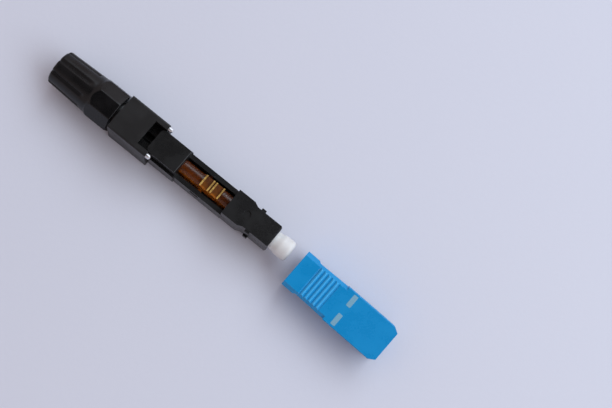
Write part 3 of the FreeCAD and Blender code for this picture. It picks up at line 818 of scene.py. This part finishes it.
def edge_sides(mesh: bpy.types.Mesh) -> tuple[Array, Array]:
    """The two faces at each edge that has two.

    Args:
        mesh: the mesh.

    Returns:
        The numbers of such edges, and a row of two face numbers for each.
    """
    owner, edge_of = face_corners(mesh)
    order = np.argsort(edge_of, kind="stable")
    uses = np.bincount(edge_of, minlength=len(mesh.edges))
    first = np.cumsum(uses) - uses
    paired = np.flatnonzero(uses == 2)
    return paired, owner[order[first[paired][:, None] + np.arange(2)]]


def weigh_edges(mesh: bpy.types.Mesh, edges: Edges) -> None:
    """Say how much of the full rounding each edge gets.

    A face's breadth beside an edge is its area over the edge's length. An edge between two
    faces that turn sharply enough is rounded by the full radius, or by a share of the narrower
    breadth where that is less.

    Args:
        mesh: the joined mesh.
        edges: how its corners are rounded.
    """
    points = column(mesh.vertices, "co", 3)
    ends = column(mesh.edges, "vertices", 2).astype(int)
    length = np.linalg.norm(points[ends[:, 0]] - points[ends[:, 1]], axis=1)
    paired, sides = edge_sides(mesh)
    normal = column(mesh.polygons, "normal", 3)[sides]
    turn = np.degrees(np.arccos(np.clip((normal[:, 0] * normal[:, 1]).sum(1), -1.0, 1.0)))
    breadth = column(mesh.polygons, "area")[sides].min(1) / np.maximum(length[paired], 1e-9)
    along = points[ends[paired], 0] / MM
    fine = np.zeros(len(paired), dtype=bool)
    for low, high in edges.fine_zones:
        fine |= ((along > low) & (along < high)).all(axis=1)
    most = np.where(fine, edges.fine_radius / edges.radius, 1.0)
    share = np.clip(FACE_SHARE * breadth / (edges.radius * MM), 0.0, most)
    soft = (breadth < edges.soft_chamfer * MM) & (turn < SOFT_TURN) & ~fine
    corner = (turn > edges.from_angle) & ~soft
    weight, sharp = np.zeros(len(length)), np.zeros(len(length), dtype=bool)
    weight[paired], sharp[paired] = np.where(corner, share, 0.0), corner
    mesh.attributes.new("bevel_weight_edge", "FLOAT", "EDGE").data.foreach_set("value", weight)
    mesh.attributes.new("sharp_edge", "BOOLEAN", "EDGE").data.foreach_set("value", sharp)


def crossed_faces(mesh: bpy.types.Mesh) -> Array:
    """Find faces whose outline crosses itself or that fold back on a neighbour.

    The triangles that fill a sound face have its own area between them, and those of a
    crossed one have more. The normals of two folded faces are opposed.

    Args:
        mesh: the rounded mesh.

    Returns:
        True for each such face.
    """
    mesh.calc_loop_triangles()
    area = column(mesh.polygons, "area")
    filled = np.bincount(column(mesh.loop_triangles, "polygon_index").astype(int),
                         column(mesh.loop_triangles, "area"), minlength=len(area))
    crossed = filled > CROSSED_SHARE * area + CROSSED_AREA
    _, sides = edge_sides(mesh)
    normal = column(mesh.polygons, "normal", 3)[sides]
    opposed = (normal[:, 0] * normal[:, 1]).sum(1) < FOLDED_COSINE
    crossed[sides[opposed & (area[sides].min(1) > FOLDED_AREA)]] = True
    return crossed


def ease_crossings(piece: bpy.types.Object, tries: int = 6) -> None:
    """Halve the rounding at the corners of faces that it pushes across themselves.

    Args:
        piece: the piece, with its rounding modifier.
        tries: the most halvings.
    """
    mesh = piece.data
    number = mesh.attributes.new("face_number", "INT", "FACE")
    number.data.foreach_set("value", np.arange(len(mesh.polygons), dtype=np.int32))
    owner, edge_of = face_corners(mesh)
    ends = column(mesh.edges, "vertices", 2).astype(int)
    weight = column(mesh.attributes["bevel_weight_edge"].data, "value")
    for _ in range(tries):
        shown = piece.evaluated_get(bpy.context.evaluated_depsgraph_get())
        rounded = shown.to_mesh()
        origin = column(rounded.attributes["face_number"].data, "value").astype(int)
        origin = origin[crossed_faces(rounded)]
        shown.to_mesh_clear()
        if len(origin) == 0:
            break
        corners = ends[edge_of[np.isin(owner, origin)]]
        weight[np.isin(ends, corners).any(axis=1)] *= 0.5
        mesh.attributes["bevel_weight_edge"].data.foreach_set("value", weight)
        piece.data.update()
    mesh.attributes.remove(mesh.attributes["face_number"])


def even_shading(piece: bpy.types.Object) -> None:
    """Let the large faces lead the shading, so that flats stay flat beside their corners.

    Args:
        piece: the piece.
    """
    leading = piece.modifiers.new("even_shading", "WEIGHTED_NORMAL")
    leading.mode = "FACE_AREA"
    leading.weight = 100
    leading.keep_sharp = True


def refined(frame: dict, node: str, body: Body, finish: Finish, edges: Edges) -> None:
    """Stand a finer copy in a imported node's place.

    The copy's loose triangles are joined, its flat faces made whole and its corners rounded,
    and it is shaded smooth where the solid is round.

    Args:
        frame: the loaded frame.
        node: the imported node.
        body: the body that it moves with.
        finish: its finish.
        edges: how its corners are rounded.
    """
    source = frame["nodes"][node]
    mesh = source.data.copy()
    mesh.name = f"{node}_fine"
    shape = bmesh.new()
    shape.from_mesh(mesh)
    bmesh.ops.remove_doubles(shape, verts=shape.verts, dist=WELD * MM)
    bmesh.ops.dissolve_limit(shape, angle_limit=radians(FLAT_TURN), verts=shape.verts,
                             edges=shape.edges)
    shape.to_mesh(mesh)
    shape.free()
    mesh.shade_smooth()
    weigh_edges(mesh, edges)
    piece = placed(mesh.name, mesh)
    mesh.materials.clear()
    mesh.materials.append(finish_of(finish))
    rounding = piece.modifiers.new("rounding", "BEVEL")
    rounding.width = edges.radius * MM
    rounding.segments = edges.steps
    rounding.limit_method = "WEIGHT"
    rounding.use_clamp_overlap = False
    ease_crossings(piece)
    even_shading(piece)
    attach(piece, body.value)
    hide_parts(node)
    LOG.info("%s: %d faces, %s", mesh.name, len(mesh.polygons), finish.name)


# ------------------------------------------------------------------ sub-assemblies


@dataclass
class SubAssembly:
    """Pieces that are dressed together.

    Attributes:
        rows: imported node, body, finish and corners of each piece that only needs refining.
    """

    rows: tuple[Row, ...]

    def dress(self, frame: dict) -> None:
        """Refine every row's node."""
        for row in self.rows:
            refined(frame, *row)


@dataclass
class TailEnd(SubAssembly):
    """Screw-down nut, pressure ring and the cable jaws."""

    rows: tuple[Row, ...] = (
        ("pressure_ring", Body.RING, BLACK_SATIN, Edges(0.05, 2)),
        ("cable_jaw_upper", Body.CONNECTOR, BLACK_SATIN, Edges(0.05, 2)),
        ("cable_jaw_lower", Body.CONNECTOR, BLACK_SATIN, Edges(0.05, 2)))
    length: float = 16.4
    rim: float = 0.5
    tail_radius: float = 4.1
    neck_radius: float = 4.5
    head_rear: float = 10.1
    head_edge: float = 0.2
    flats: float = 9.2
    corners: int = 8
    corner_power: float = 90.0
    turn: float = -8.5
    shoulder_slope: float = 0.45
    arch_softness: float = 0.015
    valley_depth: float = 0.34
    valley_half: float = 0.62
    valley_run: Pair = (8.1, 9.1)
    front_radius: float = 4.2
    rear_radius: float = 3.1
    mouth_radius: float = 2.0
    mouth_length: float = 2.0
    room_radius: float = 3.2
    thread_rear: float = 6.1
    thread_radius: float = 3.45
    bore_rounding: float = 0.1
    bore_steps: int = 4
    sector_columns: int = 30
    rim_steps: int = 8
    edge_steps: int = 6
    cone_runs: tuple[Run, ...] = ((0.8, 8.1, 10), (8.2, 9.1, 10), (9.6, 10.1, 2))
    head_runs: tuple[Run, ...] = ((10.15, 11.5, 28), (12.5, 16.2, 4))

    def directions(self) -> Array:
        """Angles round the nut, crowded at its corners: 22.5 u |u|^0.5 degrees off each corner.

        Returns:
            The angles, in radians.
        """
        share = np.linspace(-1.0, 1.0, self.sector_columns, endpoint=False)
        sector = 180.0 / self.corners * share * np.abs(share) ** 0.5
        corner = np.arange(self.corners) * 360.0 / self.corners + self.turn
        return np.radians((corner[:, None] + sector[None, :]).reshape(-1))

    def cone(self, along: Array, off_corner: Array) -> Array:
        """Radius of the gripped cone.

        A straight taper with a round rear rim, less a valley behind each corner of the head,
        whose section is a squared cosine.

        Args:
            along: places along X, as a column.
            off_corner: angle from the nearest corner, in radians, as a row.

        Returns:
            Radii over places and angles.
        """
        taper = (self.neck_radius - self.tail_radius) / (self.head_rear - self.rim)
        into_rim = np.clip(1.0 - along / self.rim, 0.0, 1.0)
        radius = (self.tail_radius + taper * (np.maximum(along, self.rim) - self.rim)
                  - self.rim * (1.0 - np.sqrt(1.0 - into_rim ** 2)))
        share = np.clip(np.abs(off_corner) * self.tail_radius / self.valley_half, 0.0, 1.0)
        first, last = self.valley_run
        run = 1.0 - eased((along - first) / (last - first))
        return radius - self.valley_depth * np.cos(share * np.pi / 2) ** 2 * run

    def head(self, along: Array, off_corner: Array) -> Array:
        """Radius of the eight-sided head, whose rear corners are turned down.

        The sides are a power mean of two flats, which rounds their corners; a soft minimum
        with the turned shoulder leaves an arch on each side.

        Args:
            along: places along X, as a column.
            off_corner: angle from the nearest corner, in radians, as a row.

        Returns:
            Radii over places and angles.
        """
        half = np.pi / self.corners
        power = self.corner_power
        mean = (np.cos(off_corner - half) ** power + np.cos(off_corner + half) ** power)
        sides = self.flats / 2 * mean ** (-1.0 / power)
        shoulder = self.neck_radius + self.shoulder_slope * (along - self.head_rear)
        soft = self.arch_softness
        lower = -soft * np.log(np.exp(-sides / soft) + np.exp(-shoulder / soft))
        into_edge = np.clip((along - self.length + self.head_edge) / self.head_edge, 0.0, 1.0)
        return lower - self.head_edge * (1.0 - np.sqrt(1.0 - into_edge ** 2))

    def bore(self) -> Array:
        """Inner half section (x, r), from the front end to the rear one."""
        return rounded_path([
            (self.length, self.front_radius), (self.length, self.thread_radius),
            (self.thread_rear, self.thread_radius), (self.thread_rear, self.room_radius),
            (self.mouth_length, self.room_radius), (self.mouth_length, self.mouth_radius),
            (0.0, self.mouth_radius), (0.0, self.rear_radius)],
            self.bore_rounding, self.bore_steps)

    def build_nut(self) -> None:
        """Carry the nut's section round X: outside over places and angles, plain bore inside."""
        turn = self.directions()[None, :]
        sector = 2 * np.pi / self.corners
        off_corner = (turn - radians(self.turn) + sector / 2) % sector - sector / 2
        rim = self.rim * (1.0 - np.cos(np.linspace(0.0, np.pi / 2, self.rim_steps)))
        edge = np.sin(np.linspace(0.0, np.pi / 2, self.edge_steps))[1:]
        edge = self.length - self.head_edge * (1.0 - edge)
        behind = np.concatenate([rim, places(self.cone_runs)])[:, None]
        ahead = np.concatenate([places(self.head_runs), edge])[:, None]
        radius = np.concatenate([self.cone(behind, off_corner), self.head(ahead, off_corner)])
        inner = self.bore()
        radius = np.concatenate([radius, np.broadcast_to(inner[:, 1:], (len(inner), turn.size))])
        along = np.concatenate([behind, ahead, inner[:, :1]])
        points = round_x(along, radius, turn).reshape(-1, 3)
        faces = lattice(len(along), turn.size, wrap_rows=True).tolist()
        piece = mesh_piece("nut_shell", points, faces, Body.NUT, BLACK_NUT)
        even_shading(piece)
        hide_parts("tail_nut")

    def dress(self, frame: dict) -> None:
        """Build the nut and refine what is inside it."""
        self.build_nut()
        super().dress(frame)


@dataclass
class Chassis(SubAssembly):
    """The black mouldings that stay together: channel, clamp block and plug frame."""

    rows: tuple[Row, ...] = (
        ("main_body", Body.CONNECTOR, BLACK, Edges(0.06, 2)),
        ("clamp_block", Body.CONNECTOR, BLACK, Edges(0.1, 3, soft_chamfer=0.4)),
        ("plug_frame", Body.CONNECTOR, BLACK, Edges(0.1, 3, soft_chamfer=0.4)))


@dataclass
class LockingSleeve(SubAssembly):
    """Sliding sleeve and its two steel pins."""

    rows: tuple[Row, ...] = (
        ("sliding_sleeve", Body.SLEEVE, BLACK_SLEEVE, Edges(0.1, 3)),
        ("press_pin_left", Body.SLEEVE, PIN_STEEL, Edges(0.12, 3)),
        ("press_pin_right", Body.SLEEVE, PIN_STEEL, Edges(0.12, 3)))


@dataclass
class FerruleUnit(SubAssembly):
    """Splice base and lid, holder, ferrule, fibre and the spring behind them."""

    rows: tuple[Row, ...] = (
        ("v_groove_base", Body.FERRULE, AMBER, Edges(0.05, 2)),
        ("v_groove_lid", Body.FERRULE, AMBER_LID, Edges(0.05, 2)),
        ("ferrule_holder", Body.FERRULE, BLACK_SATIN, Edges(0.05, 2)),
        ("ferrule", Body.FERRULE, ZIRCONIA, Edges(0.08, 3)),
        ("fibre_stub", Body.FERRULE, BARE_FIBRE, Edges(0.01, 1)))
    wire: float = 0.3
    coil_radius: float = 1.28
    pitch: float = 1.05
    columns: int = 14
    steps_per_turn: int = 40
    travel: float = 1.0

    def dress(self, frame: dict) -> None:
        """Refine the floating pieces and wind the spring."""
        super().dress(frame)
        self.wind_spring()

    def wind_spring(self) -> None:
        """A round wire carried along a helix: radius of the coil plus the wire's own circle."""
        low, high = (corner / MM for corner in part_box("ferrule_spring"))
        start, end = low[0] + self.wire / 2, high[0] - self.wire / 2
        turns = (end - start) / self.pitch
        steps = int(turns * self.steps_per_turn)
        turn = np.linspace(0.0, 2 * np.pi * turns, steps)[:, None]
        section = circle(self.columns)
        reach = self.coil_radius + self.wire / 2 * np.cos(section)
        along = start + self.pitch * turn / (2 * np.pi) + self.wire / 2 * np.sin(section)
        points = np.stack([along, reach * np.sin(turn), reach * np.cos(turn)], -1).reshape(-1, 3)
        faces = lattice(steps, self.columns).tolist()
        rear = list(range(self.columns))
        front = list(range((steps - 1) * self.columns, steps * self.columns))
        piece = mesh_piece("spring_coil", points, [*faces, rear[::-1], front], Body.CONNECTOR,
                           SPRING_STEEL)
        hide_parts("ferrule_spring")
        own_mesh(piece)


@dataclass
class DustCap:
    """Soft cap: thin neck, flare, round-nosed head, a shallow gate dimple and a blind bore."""

    neck_radius: float = 2.16
    head_radius: float = 2.45
    head_length: float = 2.5
    flare: float = 1.5
    nose: float = 0.9
    lip: float = 0.22
    bore_radius: float = 1.28
    bore_length: float = 4.7
    lead: float = 0.1
    gate: tuple[Pair, ...] = ((0.0, 0.6), (0.05, 0.5), (0.06, 0.0))
    flare_steps: int = 12
    lip_steps: tuple[int, int] = (5, 6)
    nose_steps: int = 14
    columns: int = 96

    def profile(self, rear: float, front: float) -> Array:
        """The cap's half section, from the bore's end round the mouth to the gate's dimple.

        Args:
            rear: place of the mouth.
            front: place of the nose.

        Returns:
            Points (x, r), the first and the last on the axis.
        """
        inside, mouth = rear + self.bore_length, rear + self.lip
        share = np.linspace(0.0, 1.0, self.flare_steps)
        flare = np.stack([
            front - self.head_length + self.flare * (share - 1.0),
            self.neck_radius + (self.head_radius - self.neck_radius) * eased(share)], -1)
        return np.concatenate([
            [(inside, 0.0), (inside, self.bore_radius), (rear + self.lead, self.bore_radius)],
            arc((mouth, self.bore_radius + self.lip), self.lip, 250, 180, self.lip_steps[0]),
            arc((mouth, self.neck_radius - self.lip), self.lip, 180, 90, self.lip_steps[1]),
            flare,
            arc((front - self.nose, self.head_radius - self.nose), self.nose, 90, 0,
                self.nose_steps),
            [(front - depth, radius) for depth, radius in self.gate]])

    def build(self) -> None:
        """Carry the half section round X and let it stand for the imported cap."""
        low, high = (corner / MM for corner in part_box("dust_cap"))
        half = self.profile(low[0], high[0])
        rings = round_x(half[1:-1, :1], half[1:-1, 1:], circle(self.columns))
        points, faces = closed_rings(rings, np.pad(half[[0, -1]], ((0, 0), (0, 1))))
        piece = mesh_piece("cap_shell", points, faces, Body.CAP, WHITE)
        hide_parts("dust_cap")


@dataclass
class OuterHousing:
    """The blue housing, lying rolled and turned ahead of the plug, with its two marks."""

    edges: Edges = Edges(0.1, 3, fine_zones=((70.3, 77.2), (89.9, 92.5)), soft_chamfer=0.4)
    yaw: float = -2.07
    key_height: float = 0.77
    key_width: float = 1.7
    width: float = 9.0
    height: float = 7.4
    rib_rise: float = 0.2
    mark_place: float = 13.7
    mark_length: float = 1.12
    mark_width: float = 2.9
    mark_offset: float = 2.52
    mark_height: float = 0.03
    mark_rings: int = 11
    mark_columns: int = 64
    corner: float = 0.18
    # Shares of the rib rise between which the crests get a painted highlight.
    crest_highlight_shares: Pair = (0.05, 0.6)

    def angles(self) -> Pair:
        """Roll about X and yaw about Z, in radians."""
        return (float(np.arctan(self.key_height / (self.width / 2 - self.key_width / 2))),
                float(np.radians(self.yaw)))

    def turn(self) -> Array:
        """The housing's rotation: roll about its length, then yaw about Z."""
        roll, yaw = self.angles()
        return np.array(Matrix.Rotation(yaw, 3, "Z") @ Matrix.Rotation(roll, 3, "X"))

    def origin(self, frame: dict) -> Array:
        """Middle of the rear face in the row frame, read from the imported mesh.

        Args:
            frame: the loaded frame.

        Returns:
            The point.
        """
        points = column(frame["nodes"]["outer_housing"].data.vertices, "co", 3)
        own = points / MM @ self.turn()
        low, high = own.min(0), own.max(0)
        return self.turn() @ np.array([low[0], (low[1] + high[1]) / 2,
                                       high[2] - self.rib_rise - self.height / 2])

    def dress(self, frame: dict) -> None:
        """Refine the housing and print its two marks.

        Args:
            frame: the loaded frame.
        """
        origin = self.origin(frame)
        # Heights between which the grip crests get a painted highlight.
        heights = [self.height / 2 + self.rib_rise * share for share in self.crest_highlight_shares]
        finish = replace(BLUE, middle=tuple(origin.tolist()), turn=self.angles(),
                         heights=tuple(heights))
        refined(frame, "outer_housing", Body.CONNECTOR, finish, self.edges)
        for side, name in ((-1, "mark_right"), (1, "mark_left")):
            centre = np.array([self.mark_place, side * self.mark_offset, self.height / 2])
            self.print_mark(name, origin, centre)

    def print_mark(self, name: str, origin: Array, centre: Array) -> None:
        """A thin slab of ink: a superellipsoid, its corners set by powers of sine and cosine.

        Args:
            name: the mark's name.
            origin: the housing's origin.
            centre: the mark's middle in the housing's own frame.
        """
        across = circle(self.mark_columns)
        over = np.linspace(-np.pi / 2, np.pi / 2, self.mark_rings + 2)[1:-1, None]

        def power(value: Array) -> Array:
            """Signed power that squares off the sine and cosine."""
            return np.sign(value) * np.abs(value) ** self.corner

        half = np.array([self.mark_length, self.mark_width, self.mark_height]) / 2
        reach = power(np.cos(over))
        rings = half * np.stack([reach * power(np.cos(across)), reach * power(np.sin(across)),
                                 power(np.sin(over)) + 0.0 * across], -1)
        points, faces = closed_rings(rings, half * [[0, 0, -1], [0, 0, 1]])
        mesh_piece(name, (points + centre) @ self.turn().T + origin, faces, Body.CONNECTOR,
                   MARK_INK)


# ------------------------------------------------------------------ studio


@dataclass
class Lamp:
    """A flat soft lamp: where it hangs, how large it is and how much it gives.

    Angles are in degrees, azimuth from +X towards +Y.
    """

    name: str
    azimuth: float
    elevation: float
    distance: float
    width: float
    height: float
    power: float
    colour: Colour

    def hang(self, aim: Vector) -> None:
        """Hang the lamp so that it faces the aim.

        Args:
            aim: the lit point.
        """
        data = bpy.data.lights.new(self.name, "AREA")
        data.shape = "RECTANGLE"
        data.size, data.size_y = self.width * MM, self.height * MM
        data.energy = self.power
        data.color = self.colour
        lamp = placed(self.name, data)
        around, up = radians(self.azimuth), radians(self.elevation)
        ray = Vector((cos(up) * cos(around), cos(up) * sin(around), sin(up)))
        lamp.location = (aim + ray * self.distance) * MM
        lamp.rotation_euler = (-ray).to_track_quat("-Z", "Y").to_euler()
        LOG.info("%s: %.1f W", self.name, self.power)


@dataclass
class Studio:
    """Table, lamp, sky and camera."""

    table_reach: float = 900.0
    camera_place: Triple = (64.55, -45.62, 242.31)
    camera_turn: Triple = (10.89, -7.31, 38.33)
    camera_lens: float = 67.65
    camera_sensor: float = 36.0
    camera_clip: Pair = (0.01, 10.0)
    key: Lamp = field(default_factory=lambda: Lamp(
        "window_lamp", 45.0, 50.0, 700.0, 1500.0, 500.0, 6.0, (0.86, 1.0, 1.12)))
    room: Colour = (0.53, 0.446, 0.451)
    shade: Colour = (0.02, 0.022, 0.021)
    shade_middle: Pair = (-0.12, -0.15)
    shade_half: Pair = (0.27, 0.48)
    shade_edge: Pair = (0.7, 1.5)
    shade_foot: float = 0.3

    def build(self, floor: float, middle: Vector) -> None:
        """Set everything up.

        Args:
            floor: height of the table's top, in metres.
            middle: middle of the connector.
        """
        self.lay_table(floor)
        self.key.hang(middle)
        self.light_sky()
        self.set_camera()

    def lay_table(self, floor: float) -> None:
        """Lay a flat sheet of paper under the connector.

        Args:
            floor: its height, in metres.
        """
        side = np.linspace(-self.table_reach, self.table_reach, 3) * MM
        across, along = np.meshgrid(side, side, indexing="ij")
        points = np.stack([across, along, np.full_like(across, floor)], -1).reshape(-1, 3)
        start = np.array([0, 1, 3, 4])
        faces = np.stack([start, start + 3, start + 4, start + 1], -1).tolist()
        mesh = bpy.data.meshes.new("table")
        mesh.from_pydata(points.tolist(), [], faces)
        mesh.materials.append(finish_of(TABLE_PAPER))
        table = placed("table", mesh)
        table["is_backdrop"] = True

    def light_sky(self) -> None:
        """An even room light from all round, shaded where the viewer leans over the table."""
        world = bpy.data.worlds.new("room")
        bpy.context.scene.world = world
        world.use_nodes = True
        board = Board(world)
        toward = board.node("ShaderNodeTexCoord").out("Generated")
        across, along, up = board.parts(toward)
        from_middle = (((across - self.shade_middle[0]) / self.shade_half[0]) ** 2
                       + ((along - self.shade_middle[1]) / self.shade_half[1]) ** 2)
        shaded = (1.0 - from_middle.rise(*self.shade_edge)) * up.rise(0.0, self.shade_foot)
        colour = board.blend(shaded, self.room, self.shade)
        sky = board.node("ShaderNodeBackground", None, {"Color": colour, "Strength": 1.0})
        white = board.node("ShaderNodeBackground", None,
                           {"Color": (1.0, 1.0, 1.0, 1.0), "Strength": 1.0})
        seen = board.node("ShaderNodeLightPath").out("Is Camera Ray")
        both = board.node("ShaderNodeMixShader", None, {0: seen, 1: sky.out(), 2: white.out()})
        board.node("ShaderNodeOutputWorld", None, {"Surface": both.out()})

    def set_camera(self) -> None:
        """Place the camera, which looks down on the connector."""
        data = bpy.data.cameras.new("camera")
        data.sensor_width = self.camera_sensor
        data.lens = self.camera_lens
        data.clip_start, data.clip_end = self.camera_clip
        camera = placed("camera", data)
        camera.location = Vector(self.camera_place) * MM
        camera.rotation_euler = [radians(angle) for angle in self.camera_turn]
        bpy.context.scene.camera = camera


def main() -> None:
    """Load the frame, dress every piece, and set the studio by the packed pieces' box."""
    logging.basicConfig(level=logging.INFO, format="%(name)s: %(message)s")
    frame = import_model()
    packed = [list(corner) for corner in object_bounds()]
    bpy.context.scene.view_settings.view_transform = "Standard"
    TailEnd().dress(frame)
    Chassis().dress(frame)
    LockingSleeve().dress(frame)
    FerruleUnit().dress(frame)
    DustCap().build()
    OuterHousing().dress(frame)
    middle = (Vector(packed[0]) + Vector(packed[1])) / 2 / MM
    Studio().build(packed[0][2], middle)


if __name__ == "__main__":
    main()
